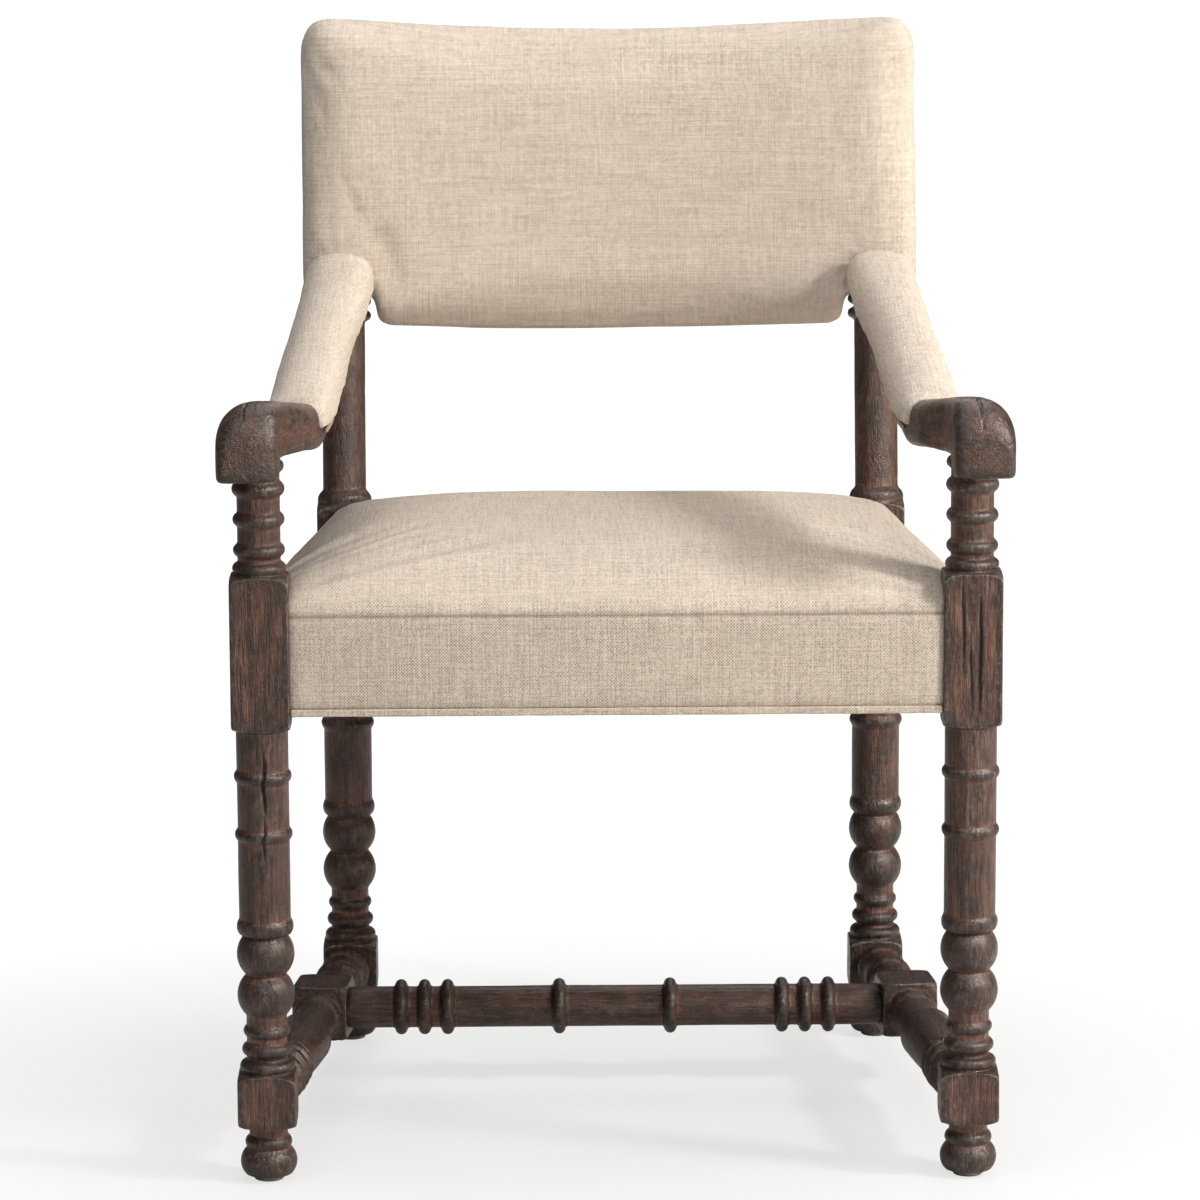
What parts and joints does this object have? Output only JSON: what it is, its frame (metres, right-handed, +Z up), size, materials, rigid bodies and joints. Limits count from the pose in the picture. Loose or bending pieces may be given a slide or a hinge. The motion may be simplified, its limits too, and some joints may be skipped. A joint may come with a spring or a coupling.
{
  "type": "armchair",
  "caption": "Upholstered armchair with a turned timber frame, an H stretcher, sloping arms with carved hands and pads, and a raked back.",
  "frame": {"origin": "on the floor, in the middle of the chair's outline", "axes": "+X to the right seen from the front, +Y to the back, +Z up"},
  "size_m": [0.684, 0.6532, 0.9801],
  "materials": {
    "timber": "dark limewashed timber, worn at the edges",
    "rail_timber": "plain planed timber",
    "steel": "plain steel",
    "webbing": "woven jute strap",
    "hessian": "open plain weave",
    "dust_cloth": "black nonwoven cloth",
    "foam": "open-cell foam",
    "linen": "slubby natural linen weave",
    "trim": "flat woven band",
    "glide": "moulded plastic"
  },
  "bodies": {
    "root": {"front_leg_left": "timber", "front_leg_right": "timber", "rear_leg_left": "timber", "rear_leg_right": "timber", "side_stretcher_left": "timber", "side_stretcher_right": "timber", "cross_stretcher": "timber", "arm_left": "timber", "arm_right": "timber", "front_seat_rail": "rail_timber", "rear_seat_rail": "rail_timber", "side_seat_rail_left": "rail_timber", "side_seat_rail_right": "rail_timber", "corner_block_front_left": "rail_timber", "corner_block_front_right": "rail_timber", "corner_block_rear_left": "rail_timber", "corner_block_rear_right": "rail_timber", "back_top_rail": "rail_timber", "back_bottom_rail": "rail_timber", "corner_block_screws": "steel", "arm_bolts": "steel", "glide_nails": "steel", "seat_webbing_lengthwise": "webbing", "seat_webbing_crosswise": "webbing", "back_webbing": "webbing", "seat_hessian": "hessian", "dust_cover": "dust_cloth", "seat_foam": "foam", "back_foam": "foam", "arm_foam_left": "foam", "arm_foam_right": "foam", "seat_cover": "linen", "back_cover": "linen", "back_outer_panel": "linen", "arm_cover_left": "linen", "arm_cover_right": "linen", "seat_welt": "trim", "arm_trim_left": "trim", "arm_trim_right": "trim", "glide_front_left": "glide", "glide_front_right": "glide", "glide_rear_left": "glide", "glide_rear_right": "glide"}
  },
  "joints": []
}
